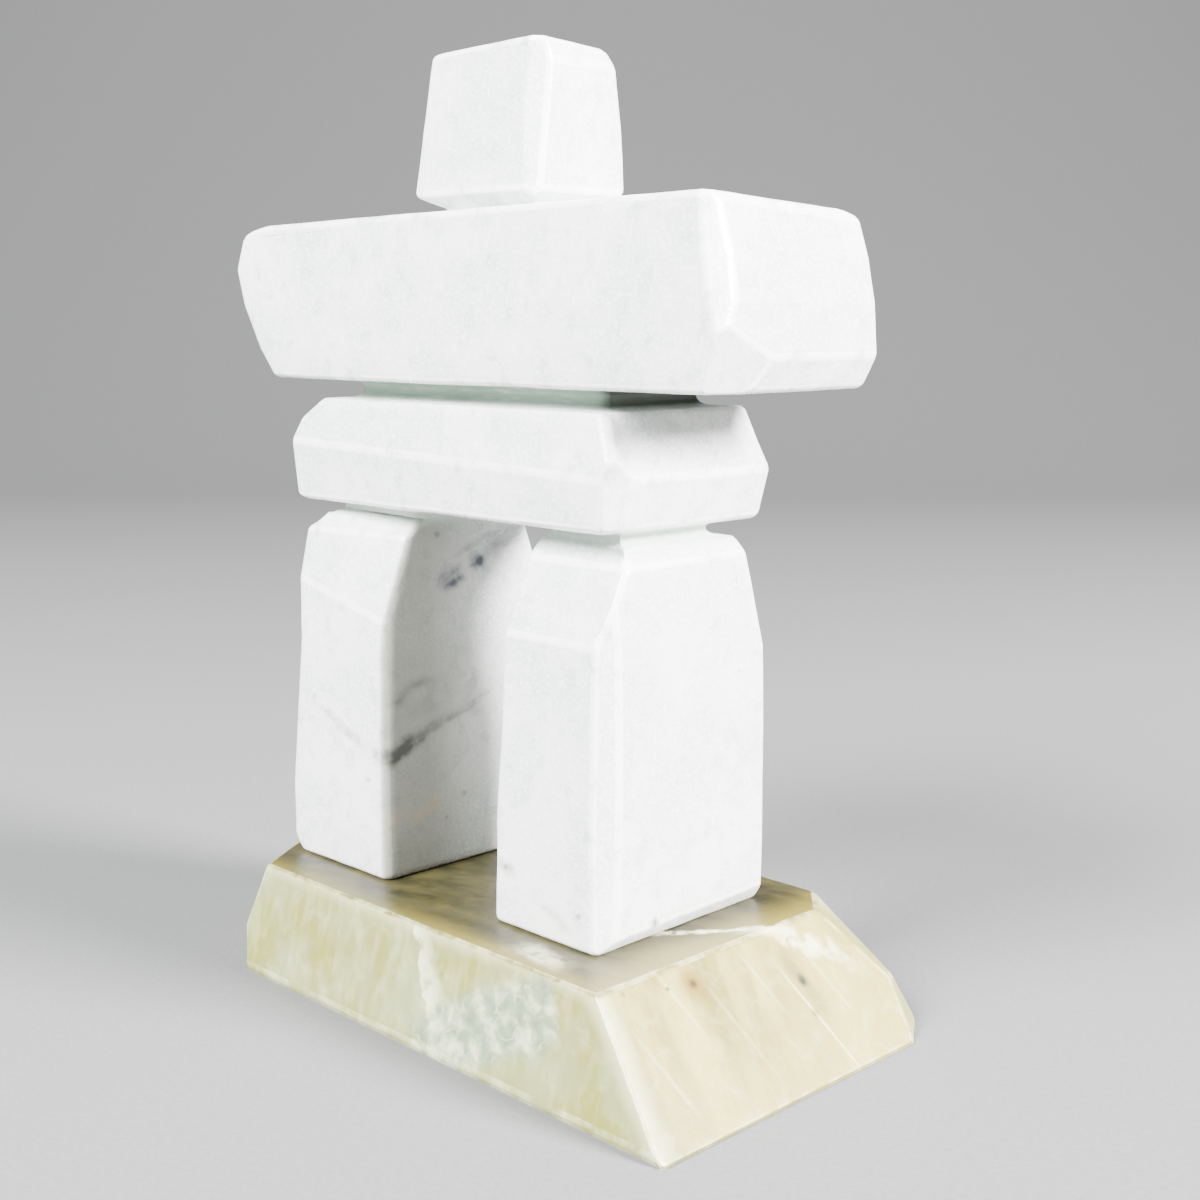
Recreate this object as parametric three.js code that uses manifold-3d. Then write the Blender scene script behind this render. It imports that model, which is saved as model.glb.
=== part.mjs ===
// Inuksuk carved from one block of white marble, standing on a serpentine plinth.
//
// The figure reads as stacked stones: two legs, a torso slab, a long arm stone and a head.
// They are one block, parted only by rounded grooves that leave a narrower waist between them.
// Millimetres, +Z up, +X along the arms, -Y the front. The origin is under the plinth's middle.

import * as THREE from 'three';
import { mergeVertices } from 'three/addons/utils/BufferGeometryUtils.js';
import Module from 'manifold-3d';

const wasm = await Module();
wasm.setup();

// Plinth
const PLINTH_LENGTH = 199.6;
const PLINTH_WIDTH = 106;
const PLINTH_HEIGHT = 30;
const PLINTH_ARRIS = 1.2;

// Where the figure stands, measured from the plinth's middle
const FIGURE_SHIFT_X = -4;
const FIGURE_SHIFT_Y = 1.4;
const SEAT_CLEARANCE = 0.3;

// Legs
const LEG_HEIGHT = 98;
const LEG_SPACING = 84.2;
const LEFT_LEG_SPAN = 44.6;
const RIGHT_LEG_SPAN = 39.6;
const LEG_DEPTH = 61.5;

// Torso slab
const TORSO_HEIGHT = 28.8;
const TORSO_SPAN = 130.6;
const TORSO_DEPTH = 59;

// Arm stone
const ARM_HEIGHT = 42.2;
const ARM_SPAN = 188.6;
const ARM_DEPTH = 58;

// Head
const HEAD_HEIGHT = 37.6;
const HEAD_SPAN = 46.8;
const HEAD_DEPTH = 33.6;

// How tall each groove between the stones is, and how far it is cut in where it is deepest
const HIP_GROOVE = 3.6;
const HIP_GROOVE_DEPTH = 5.6;
const SHOULDER_GROOVE = 4.8;
const SHOULDER_GROOVE_DEPTH = 10;
const NECK_GROOVE = 4;
const NECK_GROOVE_DEPTH = 3.6;

// The rounding of the figure's edges
const FIGURE_ARRIS = 2.3;

// How far the legs run up inside the torso, which they are one with
const LEG_ROOT = 7;

// Steps along a rounded corner, a rounded edge and a groove's hollow
const CORNER_STEPS = 4;
const ARRIS_STEPS = 3;
const COVE_STEPS = 6;

// The foot of each stone, stacked from the feet up
const TORSO_FOOT = LEG_HEIGHT + HIP_GROOVE;
const ARM_FOOT = TORSO_FOOT + TORSO_HEIGHT + SHOULDER_GROOVE;
const HEAD_FOOT = ARM_FOOT + ARM_HEIGHT + NECK_GROOVE;

// Each stone starts as a block, and every cut says how far its faces are worked back at one height.
// In a cut, up and the set-ins are shares of the stone's height, and its slopes tilt the slice.
// A facet is the flat worked on an upright corner, also a share of the height, in the order that
// CORNERS gives. A cut has the stone's own facets unless it names others.
const LEFT_LEG = {
  foot: 0,
  height: LEG_HEIGHT,
  span: LEFT_LEG_SPAN,
  depth: LEG_DEPTH,
  middleX: -LEG_SPACING / 2,
  middleY: -0.043 * LEG_DEPTH,
  facets: [0.03, 0.045, 0.04, 0.04],
  cuts: [
    { up: 0 },
    { up: 0.21 },
    { up: 0.42, left: 0.02, front: 0.005 },
    { up: 0.63, left: 0.045, front: 0.01 },
    { up: 0.775, left: 0.034, right: 0.005, front: 0.018, slopeX: -0.2 },
    { up: 0.96, left: 0.04, right: 0.01, front: 0.075, back: 0.08, slopeX: -0.04, skew: 0.13 },
    { up: 1, left: 0.06, right: 0.01, front: 0.105, back: 0.1, slopeX: -0.04, skew: 0.13 },
  ],
};

const RIGHT_LEG = {
  foot: 0,
  height: LEG_HEIGHT,
  span: RIGHT_LEG_SPAN,
  depth: LEG_DEPTH,
  middleX: LEG_SPACING / 2,
  middleY: -0.024 * LEG_DEPTH,
  facets: [0.025, 0.05, 0.04, 0.04],
  cuts: [
    { up: 0, back: 0.005 },
    { up: 0.26, left: 0.005, back: 0.003 },
    { up: 0.51, left: 0.023, right: 0.004, front: 0.008 },
    { up: 0.735, left: 0.031, right: 0.008, front: 0.014, back: 0.002, slopeY: -0.11 },
    { up: 0.96, left: 0.029, right: 0.02, front: 0.105, back: 0.07, slopeX: -0.03 },
    { up: 1, left: 0.029, right: 0.045, front: 0.125, back: 0.095 },
  ],
};

const TORSO = {
  foot: TORSO_FOOT,
  height: TORSO_HEIGHT,
  span: TORSO_SPAN,
  depth: TORSO_DEPTH,
  middleX: -0.016 * TORSO_SPAN,
  middleY: 0,
  facets: [0.1, 0.16, 0.14, 0.14],
  cuts: [
    { up: 0, left: 0.07, right: 0.12, front: 0.04, back: 0.05 },
    { up: 0.51, left: 0.03, right: 0.01, back: 0.02, slopeX: -0.027 },
    { up: 0.73, left: 0.14, right: 0.09, front: 0.055, back: 0.08 },
    { up: 1, left: 0.42, right: 0.23, front: 0.115, back: 0.15, slopeY: -0.035 },
  ],
};

const ARMS = {
  foot: ARM_FOOT,
  height: ARM_HEIGHT,
  span: ARM_SPAN,
  depth: ARM_DEPTH,
  middleX: 0.003 * ARM_SPAN,
  middleY: 0,
  facets: [0.06, 0.12, 0.08, 0.08],
  cuts: [
    { up: 0, left: 0.42, right: 0.09, front: 0.03, back: 0.02 },
    { up: 0.19, left: 0.28, right: 0, front: 0.012 },
    { up: 0.48, left: 0.1, right: 0.02, front: 0.012 },
    { up: 0.72, right: 0.075, front: 0.03 },
    { up: 0.86, left: 0.045, right: 0.11, front: 0.04, slopeY: -0.03 },
    { up: 0.95, left: 0.16, right: 0.135, front: 0.05, slopeX: 0.01, slopeY: -0.05 },
    { up: 1, left: 0.34, right: 0.16, front: 0.06, back: 0.08, slopeX: 0.012, slopeY: -0.06 },
  ],
};

const HEAD = {
  foot: HEAD_FOOT,
  height: HEAD_HEIGHT,
  span: HEAD_SPAN,
  depth: HEAD_DEPTH,
  middleX: -0.018 * HEAD_SPAN,
  middleY: 0,
  facets: [0.05, 0.09, 0.06, 0.06],
  cuts: [
    { up: 0, left: 0.106, right: 0.05, front: 0.064, back: 0.06 },
    { up: 0.12, right: 0.015 },
    { up: 0.5, left: 0.058, right: 0.01, front: 0.037, back: 0.03 },
    { up: 0.88, left: 0.085, right: 0.012, front: 0.088, back: 0.08 },
    { up: 1, left: 0.1, right: 0.05, front: 0.104, back: 0.14, slopeX: 0.02, slopeY: -0.07 },
  ],
};

// What each side of a groove has of its full depth. The left leg's inner side runs nearly straight up.
const LEFT_HIP = { left: 0.9, right: 0.15, front: 0.4, back: 1 };
const RIGHT_HIP = { left: 0.5, right: 0.75, front: 0.4, back: 1 };
const SHOULDER = { left: 0.65, right: 0.72, front: 0.97, back: 1 };
const NECK = { left: 0.85, right: 0.75, front: 0.75, back: 0.75 };

// The plinth is hewn the same way, but each corner is cut off by its own lengths along X and Y.
const PLINTH = {
  foot: 0,
  height: PLINTH_HEIGHT,
  span: PLINTH_LENGTH,
  depth: PLINTH_WIDTH,
  middleX: 0,
  middleY: 0,
  cuts: [
    {
      up: 0, left: 0.1, right: 0.02, front: 0.015, back: 0.015,
      facets: [1.3, 0.04, 0.4, 0.6], facetsY: [1.75, 0.04, 0.57, 0.7],
    },
    {
      up: 0.07,
      facets: [1.25, 0.04, 0.34, 0.58], facetsY: [1.7, 0.04, 0.5, 0.66],
    },
    {
      up: 0.4, left: 0.26, right: 0.34, front: 0.09, back: 0.11,
      facets: [0.88, 0.04, 0.14, 0.52], facetsY: [1.4, 0.04, 0.16, 0.58],
    },
    {
      up: 1, left: 0.63, right: 0.93, front: 0.233, back: 0.245,
      facets: [0.68, 0.04, 1.05, 0.45], facetsY: [1, 0.04, 0.37, 0.5],
    },
  ],
};

// The four corners seen from above, from the front left round to the back left.
// fromPrevious and toNext point along the two sides that meet there.
const CORNERS = [
  { x: 'left', y: 'front', fromPrevious: [0, 1], toNext: [1, 0] },
  { x: 'right', y: 'front', fromPrevious: [-1, 0], toNext: [0, 1] },
  { x: 'right', y: 'back', fromPrevious: [0, -1], toNext: [-1, 0] },
  { x: 'left', y: 'back', fromPrevious: [1, 0], toNext: [0, -1] },
];

// 1 cuts a corner off straight, and 2 rounds it fully
const FIGURE_ROUNDNESS = 1.2;
const PLINTH_ROUNDNESS = 1.05;

// No ridge is rounded over more than this share of the way to the next one
const LARGEST_ROUNDED_SHARE = 0.45;

// A slice holds where a stone's four sides are at one height, how it tilts and its corner cuts.
function sliceOf(stone, cut) {
  const { height, middleX, middleY } = stone;
  const workedBack = (side) => (cut[side] ?? 0) * height;
  const facetsX = cut.facets ?? stone.facets;
  const facetsY = cut.facetsY ?? facetsX;
  return {
    z: stone.foot + cut.up * height,
    left: middleX - stone.span / 2 + workedBack('left'),
    right: middleX + stone.span / 2 - workedBack('right'),
    front: middleY - stone.depth / 2 + workedBack('front'),
    back: middleY + stone.depth / 2 - workedBack('back'),
    middleX,
    middleY,
    slopeX: cut.slopeX ?? 0,
    slopeY: cut.slopeY ?? 0,
    skew: cut.skew ?? 0,
    facetsX: facetsX.map((share) => share * height),
    facetsY: facetsY.map((share) => share * height),
  };
}

function mixed(a, b, t) {
  if (Array.isArray(a)) {
    return a.map((value, index) => mixed(value, b[index], t));
  }
  return a + (b - a) * t;
}

function sliceBetween(a, b, t) {
  const names = Object.keys(a);
  return Object.fromEntries(names.map((name) => [name, mixed(a[name], b[name], t)]));
}

function setIn(slice, by) {
  return {
    ...slice,
    left: slice.left + by.left,
    right: slice.right - by.right,
    front: slice.front + by.front,
    back: slice.back - by.back,
  };
}

function evenly(distance) {
  return { left: distance, right: distance, front: distance, back: distance };
}

// The way from one slice to another, up and on average sideways
function distanceBetween(a, b) {
  const sides = ['left', 'right', 'front', 'back'];
  const sideways = sides.reduce((sum, side) => sum + Math.abs(b[side] - a[side]), 0);
  return Math.hypot(b.z - a.z, sideways / sides.length);
}

// Rounds every ridge between slices: each one becomes a short curve from one slope to the next.
function softened(slices, reach) {
  const result = [slices[0]];
  for (let i = 1; i < slices.length - 1; i += 1) {
    const [below, here, above] = slices.slice(i - 1, i + 2);
    const shareBelow = Math.min(LARGEST_ROUNDED_SHARE, reach / distanceBetween(below, here));
    const shareAbove = Math.min(LARGEST_ROUNDED_SHARE, reach / distanceBetween(here, above));
    const start = sliceBetween(here, below, shareBelow);
    const end = sliceBetween(here, above, shareAbove);
    for (let step = 0; step <= ARRIS_STEPS; step += 1) {
      const t = step / ARRIS_STEPS;
      result.push(sliceBetween(sliceBetween(start, here, t), sliceBetween(here, end, t), t));
    }
  }
  result.push(slices.at(-1));
  return result;
}

// The points round a slice, counterclockwise seen from above.
function outlineOf(slice, roundness) {
  const points = [];
  CORNERS.forEach((corner, index) => {
    for (let step = 0; step <= CORNER_STEPS; step += 1) {
      const t = step / CORNER_STEPS;
      const back = (1 - t) ** roundness;
      const onward = t ** roundness;
      const along = (axis, size) => (
        corner.fromPrevious[axis] * back * size + corner.toNext[axis] * onward * size
      );
      const x = slice[corner.x] + along(0, slice.facetsX[index]);
      const y = slice[corner.y] + along(1, slice.facetsY[index]);
      points.push(placed(slice, x, y));
    }
  });
  return points;
}

// Skew turns the front face about the slice's middle, and the slopes tilt the whole slice.
function placed(slice, x, y) {
  const frontness = (slice.back - y) / (slice.back - slice.front);
  const turnedY = y + slice.skew * (x - slice.middleX) * frontness;
  const z = slice.z + slice.slopeX * (x - slice.middleX) + slice.slopeY * (y - slice.middleY);
  return new THREE.Vector3(x, turnedY, z);
}

// A closed skin over the outlines of a stack of slices, with a flat lid at each end.
function skinOver(slices, roundness) {
  const rings = slices.map((slice) => outlineOf(slice, roundness));
  const count = rings[0].length;
  const vertices = rings.flat();
  const faces = [];
  for (let ring = 0; ring < rings.length - 1; ring += 1) {
    for (let i = 0; i < count; i += 1) {
      const here = ring * count + i;
      const next = ring * count + ((i + 1) % count);
      faces.push([here, next, next + count], [here, next + count, here + count]);
    }
  }
  const lid = (ring, upward) => {
    const centre = new THREE.Vector3();
    ring.forEach((point) => centre.addScaledVector(point, 1 / count));
    const middle = vertices.push(centre) - 1;
    const first = rings.indexOf(ring) * count;
    for (let i = 0; i < count; i += 1) {
      const edge = [first + i, first + ((i + 1) % count)];
      faces.push(upward ? [middle, ...edge] : [middle, ...edge.reverse()]);
    }
  };
  lid(rings[0], false);
  lid(rings.at(-1), true);
  const geometry = new THREE.BufferGeometry();
  const positions = vertices.flatMap((point) => point.toArray());
  geometry.setAttribute('position', new THREE.Float32BufferAttribute(positions, 3));
  geometry.setIndex(faces.flat());
  return geometry;
}

function solidOf(geometry) {
  const merged = mergeVertices(geometry);
  const mesh = new wasm.Mesh({
    numProp: 3,
    vertProperties: new Float32Array(merged.attributes.position.array),
    triVerts: new Uint32Array(merged.index.array),
  });
  return new wasm.Manifold(mesh);
}

function geometryOf(solid) {
  const mesh = solid.getMesh();
  const geometry = new THREE.BufferGeometry();
  geometry.setAttribute('position', new THREE.Float32BufferAttribute(mesh.vertProperties, 3));
  geometry.setIndex([...mesh.triVerts]);
  geometry.computeVertexNormals();
  return geometry;
}

function scaled(shares, size) {
  return Object.fromEntries(Object.entries(shares).map(([side, share]) => [side, share * size]));
}

// The inner edge of a stone's flat underside or top, far enough in for the ridge round it
function lidEdge(slice, arris) {
  return setIn(slice, evenly(2 * arris));
}

// A stone from one inner slice to another, with its ridges rounded
function stoneBetween(underside, stone, topside, arris) {
  return softened([underside, ...stone.cuts.map((cut) => sliceOf(stone, cut)), topside], arris);
}

// A stone's lowest and highest slices
function endsOf(stone) {
  return [sliceOf(stone, stone.cuts[0]), sliceOf(stone, stone.cuts.at(-1))];
}

// The half-round end of a groove, from its lower lip in to the waist and out to its upper lip
function hollow(lowerLip, upperLip, depths) {
  const slices = [];
  for (let step = 1; step < COVE_STEPS; step += 1) {
    const angle = (Math.PI * step) / COVE_STEPS;
    const lip = sliceBetween(lowerLip, upperLip, (1 - Math.cos(angle)) / 2);
    slices.push(setIn(lip, scaled(depths, Math.sin(angle))));
  }
  return slices;
}

// A groove runs in between the flat faces of two stones. The edge is that of the narrower stone,
// and the depths are measured in from it.
function groove(top, foot, edge, depths) {
  const radius = (foot.z - top.z) / 2;
  const { left, right, front, back, facetsX, facetsY } = setIn(edge, depths);
  const waist = { left, right, front, back, facetsX, facetsY };
  const lowerLip = setIn({ ...top, ...waist }, evenly(-radius));
  const upperLip = setIn({ ...foot, ...waist }, evenly(-radius));
  return { lowerLip, hollow: hollow(lowerLip, upperLip, evenly(radius)), upperLip };
}

// The torso, the arms and the head, one above the other
function upperBody() {
  const [torsoFoot, torsoTop] = endsOf(TORSO);
  const [armFoot, armTop] = endsOf(ARMS);
  const [headFoot, headTop] = endsOf(HEAD);
  const shoulder = groove(torsoTop, armFoot, torsoTop, scaled(SHOULDER, SHOULDER_GROOVE_DEPTH));
  const neck = groove(armTop, headFoot, headFoot, scaled(NECK, NECK_GROOVE_DEPTH));
  return [
    ...stoneBetween(lidEdge(torsoFoot, FIGURE_ARRIS), TORSO, shoulder.lowerLip, FIGURE_ARRIS),
    ...shoulder.hollow,
    ...stoneBetween(shoulder.upperLip, ARMS, neck.lowerLip, FIGURE_ARRIS),
    ...neck.hollow,
    ...stoneBetween(neck.upperLip, HEAD, lidEdge(headTop, FIGURE_ARRIS), FIGURE_ARRIS),
  ];
}

// A leg narrows to its own groove under the torso, then runs on inside the torso.
function wholeLeg(leg, hip) {
  const [foot, top] = endsOf(leg);
  const radius = HIP_GROOVE / 2;
  const lowerLip = setIn(top, scaled(hip, HIP_GROOVE_DEPTH - radius));
  const upperLip = { ...lowerLip, z: TORSO_FOOT, slopeX: 0 };
  return [
    ...stoneBetween(lidEdge(foot, FIGURE_ARRIS), leg, lowerLip, FIGURE_ARRIS),
    ...hollow(lowerLip, upperLip, scaled(hip, radius)),
    upperLip,
    { ...upperLip, z: TORSO_FOOT + LEG_ROOT },
  ];
}

function marbleFigure() {
  const stacks = [upperBody(), wholeLeg(LEFT_LEG, LEFT_HIP), wholeLeg(RIGHT_LEG, RIGHT_HIP)];
  const solids = stacks.map((slices) => solidOf(skinOver(slices, FIGURE_ROUNDNESS)));
  return geometryOf(solids.reduce((whole, solid) => whole.add(solid)));
}

function serpentinePlinth() {
  const [underside, topside] = endsOf(PLINTH).map((end) => lidEdge(end, PLINTH_ARRIS));
  const slices = stoneBetween(underside, PLINTH, topside, PLINTH_ARRIS);
  return geometryOf(solidOf(skinOver(slices, PLINTH_ROUNDNESS)));
}

const marble = new THREE.MeshStandardMaterial({ color: 0xeceeec, roughness: 0.42, metalness: 0 });
const serpentine = new THREE.MeshStandardMaterial({ color: 0xc9c4a0, roughness: 0.3, metalness: 0 });

const plinth = new THREE.Mesh(serpentinePlinth(), serpentine);
plinth.name = 'serpentine_plinth';

const figure = new THREE.Mesh(marbleFigure(), marble);
figure.name = 'marble_figure';
figure.position.set(FIGURE_SHIFT_X, FIGURE_SHIFT_Y, PLINTH_HEIGHT + SEAT_CLEARANCE);

const inuksuk = new THREE.Group();
inuksuk.add(plinth, figure);

export default inuksuk;
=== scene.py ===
from math import cos, pi, radians, sin

import bpy
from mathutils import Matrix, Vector


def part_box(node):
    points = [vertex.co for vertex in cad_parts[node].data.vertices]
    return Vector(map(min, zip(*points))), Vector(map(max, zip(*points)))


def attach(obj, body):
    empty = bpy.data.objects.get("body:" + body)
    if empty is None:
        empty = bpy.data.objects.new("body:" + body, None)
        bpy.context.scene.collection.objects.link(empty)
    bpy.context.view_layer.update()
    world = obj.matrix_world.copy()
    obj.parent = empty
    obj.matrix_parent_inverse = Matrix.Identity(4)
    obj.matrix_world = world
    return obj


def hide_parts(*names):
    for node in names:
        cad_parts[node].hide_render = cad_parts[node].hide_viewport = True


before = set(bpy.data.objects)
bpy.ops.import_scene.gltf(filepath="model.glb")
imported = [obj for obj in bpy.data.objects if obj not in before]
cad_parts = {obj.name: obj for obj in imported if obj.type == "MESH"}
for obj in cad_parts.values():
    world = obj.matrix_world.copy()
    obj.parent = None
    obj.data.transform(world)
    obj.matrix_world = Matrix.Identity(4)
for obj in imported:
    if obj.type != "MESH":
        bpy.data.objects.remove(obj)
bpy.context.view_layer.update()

MM = 0.001

# Camera, as solved from the photograph's edges, in metres
CAMERA_PLACE = Vector((0.3324, -0.3022, 0.1818))
CAMERA_DIRECTION = Vector((-0.7017, 0.6934, -0.1639))
LENS = 50.85
SENSOR = 36

# Where the figure stands on the plinth, in millimetres from the middle of the plinth's foot
PLINTH_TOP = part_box("serpentine_plinth")[1].z / MM
FIGURE_X = -4.0
FIGURE_Y = 1.4

# Rubbed edges: the widest in millimetres, the faces across each, and the least angle in degrees
WIDEST_EDGE = 8.0
EDGE_STEPS = 4
LEAST_EDGE_ANGLE = 9

# Faces that meet at less than this angle, in degrees, shade as one
SMOOTH_ANGLE = 50

# Faces around a groove and around an upright corner
GROOVE_STEPS = 8
CORNER_STEPS = 4

# Rise for each run past which an edge counts as upright
STEEP = 0.6

# Squares that the faces are cut into, and the depth and length of the waves of sanding, in millimetres
SQUARES = 2.4
FIGURE_WAVES = (0.5, 22)
PLINTH_WAVES = (0.4, 24)

# Corners of the plinth's mesh below this height, in millimetres, are brought level with its foot
UNDERSIDE = 0.35

# A cut this near to a corner, in metres, passes through it
HAIR = 1e-7


def edit(piece):
    """Opens one piece for editing, with nothing selected in it."""
    bpy.ops.object.select_all(action="DESELECT")
    piece.select_set(True)
    bpy.context.view_layer.objects.active = piece
    bpy.ops.object.mode_set(mode="EDIT")
    bpy.ops.mesh.select_all(action="DESELECT")


def done():
    """Closes the piece that is open for editing."""
    bpy.ops.object.mode_set(mode="OBJECT")


def pick(piece, chosen):
    """Opens a piece with those corners selected that chosen picks by their place in millimetres."""
    bpy.context.tool_settings.mesh_select_mode = (True, False, False)
    edit(piece)
    done()
    for vertex in piece.data.vertices:
        vertex.select = chosen(*(vertex.co / MM))
    bpy.ops.object.mode_set(mode="EDIT")


def nudge(piece, chosen, by):
    """Moves the corners that chosen picks, by millimetres along x, y and z."""
    pick(piece, chosen)
    bpy.ops.transform.translate(value=Vector(by) * MM)
    done()


def drawn_up(name, levels, corner, near_corner=0):
    """A block drawn up from its foot, its upright corners rounded; the near one is the right front one.

    Each level gives its height and its left, right, front and back, in millimetres."""
    bpy.ops.object.select_all(action="DESELECT")
    height, left, right, front, back = levels[0]
    middle = Vector(((left + right) / 2, (front + back) / 2, height)) * MM
    bpy.ops.mesh.primitive_plane_add(size=MM, location=middle)
    block = bpy.context.active_object
    block.name = name
    bpy.ops.object.transform_apply()
    bpy.ops.object.mode_set(mode="EDIT")
    size = Vector((right - left, back - front))
    bpy.ops.transform.resize(value=(*size, 1), center_override=middle)
    done()
    for radius, near in ((corner, False), (near_corner, True)):
        pick(block, lambda x, y, z: (x > middle.x / MM and y < middle.y / MM) == near)
        if radius:
            bpy.ops.mesh.bevel(offset=radius * MM, segments=CORNER_STEPS, affect="VERTICES")
        done()
    edit(block)
    bpy.ops.mesh.select_all(action="SELECT")
    for height, left, right, front, back in levels[1:]:
        target = Vector(((left + right) / 2, (front + back) / 2, height)) * MM
        bpy.ops.mesh.extrude_region_move(TRANSFORM_OT_translate={"value": target - middle})
        spread = Vector((right - left, back - front))
        bpy.ops.transform.resize(value=(spread.x / size.x, spread.y / size.y, 1), center_override=target)
        middle, size = target, spread
    bpy.ops.mesh.select_all(action="SELECT")
    bpy.ops.mesh.normals_make_consistent(inside=False)
    done()
    return block


def grind(piece, a, b, c):
    """Grinds a piece down to the flat through three points, on the side away from its middle."""
    a, b, c = (Vector(point) * MM for point in (a, b, c))
    outward = (b - a).cross(c - a)
    middle = sum((vertex.co for vertex in piece.data.vertices), Vector()) / len(piece.data.vertices)
    if outward.dot(middle - a) > 0:
        outward.negate()
    edit(piece)
    bpy.ops.mesh.select_all(action="SELECT")
    bpy.ops.mesh.bisect(plane_co=a, plane_no=outward, clear_outer=True, threshold=HAIR)
    bpy.ops.mesh.select_all(action="SELECT")
    bpy.ops.mesh.fill_holes(sides=0)
    done()


def soften(piece, width, chosen):
    """Sets how wide the sharp edges that chosen picks, by the places of their ends, are rubbed round."""
    bpy.context.tool_settings.mesh_select_mode = (False, True, False)
    edit(piece)
    bpy.ops.mesh.edges_select_sharp(sharpness=radians(LEAST_EDGE_ANGLE))
    done()
    places = [vertex.co / MM for vertex in piece.data.vertices]
    wanted = []
    for edge in piece.data.edges:
        ends = (places[index] for index in edge.vertices)
        wanted.append(edge.select and chosen(*ends))
    edit(piece)
    done()
    for edge, selected in zip(piece.data.edges, wanted):
        edge.select = selected
    bpy.ops.object.mode_set(mode="EDIT")
    bpy.ops.transform.edge_bevelweight(value=-1)
    bpy.ops.transform.edge_bevelweight(value=width / WIDEST_EDGE)
    done()


def finished_with(piece, kind, **settings):
    """Adds one modifier with its settings and applies it."""
    modifier = piece.modifiers.new(kind.lower(), kind)
    for name, value in settings.items():
        setattr(modifier, name, value)
    bpy.ops.object.select_all(action="DESELECT")
    piece.select_set(True)
    bpy.context.view_layer.objects.active = piece
    bpy.ops.object.modifier_apply(modifier=modifier.name)


def rubbed_round(piece):
    """Rounds every edge by its own width, and keeps the rounds for the piece's second material."""
    piece.data.materials.append(None)
    piece.data.materials.append(None)
    finished_with(
        piece, "BEVEL", width=WIDEST_EDGE * MM, segments=EDGE_STEPS,
        limit_method="WEIGHT", use_clamp_overlap=False, material=1,
    )


def divided(piece):
    """Cuts the faces of a piece into small squares, so that they can take a worked surface."""
    points = [vertex.co for vertex in piece.data.vertices]
    low = Vector([min(point[axis] for point in points) for axis in range(3)])
    high = Vector([max(point[axis] for point in points) for axis in range(3)])
    edit(piece)
    for axis in range(3):
        along = Vector([float(axis == other) for other in range(3)])
        length = high[axis] - low[axis]
        cuts = int(length / (SQUARES * MM))
        for cut in range(1, cuts + 1):
            bpy.ops.mesh.select_all(action="SELECT")
            place = low + along * length * cut / (cuts + 1)
            bpy.ops.mesh.bisect(plane_co=place, plane_no=along, threshold=HAIR)
    done()


def worked(piece, depth, length):
    """Gives a surface the shallow waves of hand grinding and sanding."""
    waves = bpy.data.textures.new(piece.name + "_waves", "CLOUDS")
    waves.noise_scale = length * MM
    finished_with(
        piece, "DISPLACE", texture=waves, strength=depth * MM,
        mid_level=0.5, texture_coords="LOCAL",
    )


def groove(foot, top, rim, waist, ledge):
    """The levels of a half-round groove that runs in from the rim to the waist, after a flat ledge."""
    levels = []
    for step in range(GROOVE_STEPS + 1):
        turn = pi * step / GROOVE_STEPS
        share = ledge + (1 - ledge) * sin(turn)
        height = foot + (top - foot) * (1 - cos(turn)) / 2
        levels.append((height, *(side + share * (deep - side) for side, deep in zip(rim, waist))))
    return levels


def upright(a, b):
    """Whether an edge runs up a stone rather than around it."""
    return abs(a.z - b.z) > STEEP * (a - b).xy.length


def around(a, b):
    """Whether an edge runs around a stone."""
    return not upright(a, b)


def right_leg():
    hip = groove(97.9, 101.7, (25.9, 56.9, -19.4, 19.4), (27.9, 53.3, -17.0, 14.6), 0.25)
    leg = drawn_up("right_leg", [
        (0, 22.3, 61.9, -32.2, 29.0),
        (26, 22.8, 61.9, -32.2, 29.2),
        (50, 24.5, 61.6, -31.6, 29.4),
        (72, 25.3, 61.2, -30.9, 29.2),
        (93.5, 25.1, 60.2, -22.0, 22.6),
        (96.6, 25.2, 58.6, -20.8, 20.9),
        (97.5, 25.5, 57.8, -20.1, 20.2),
        *hip,
        (105, *hip[-1][1:]),
    ], 3.2)
    nudge(leg, lambda x, y, z: 71 < z < 73 and y < 0, (0, 0, 3.4))
    nudge(leg, lambda x, y, z: 71 < z < 73 and y > 0, (0, 0, -3.2))
    nudge(leg, lambda x, y, z: 96 < z < 97.8 and y < 0, (0, 0, -1.6))
    grind(leg, (59.3, -32.2, 0), (61.9, -26.7, 0), (58.6, -31.0, 74))
    grind(leg, (59.3, -32.2, 0), (57.9, 29.0, 0), (61.9, 29.0, 5.2))
    grind(leg, (58.9, -30.0, 77), (59.1, -22.6, 93), (60.8, -25.2, 80))
    soften(leg, 1.0, lambda a, b: around(a, b) and max(a.z, b.z) < 94.5)
    soften(leg, 1.8, lambda a, b: max(a.z, b.z) < 8)
    soften(leg, 0.7, lambda a, b: max(a.z, b.z) < 8 and min(a.x, b.x) > 55)
    soften(leg, 1.2, lambda a, b: (
        upright(a, b) and min(a.x, b.x) > 58 and max(a.y, b.y) < -20 and a.z + b.z > 20
    ))
    rubbed_round(leg)
    return leg


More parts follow.
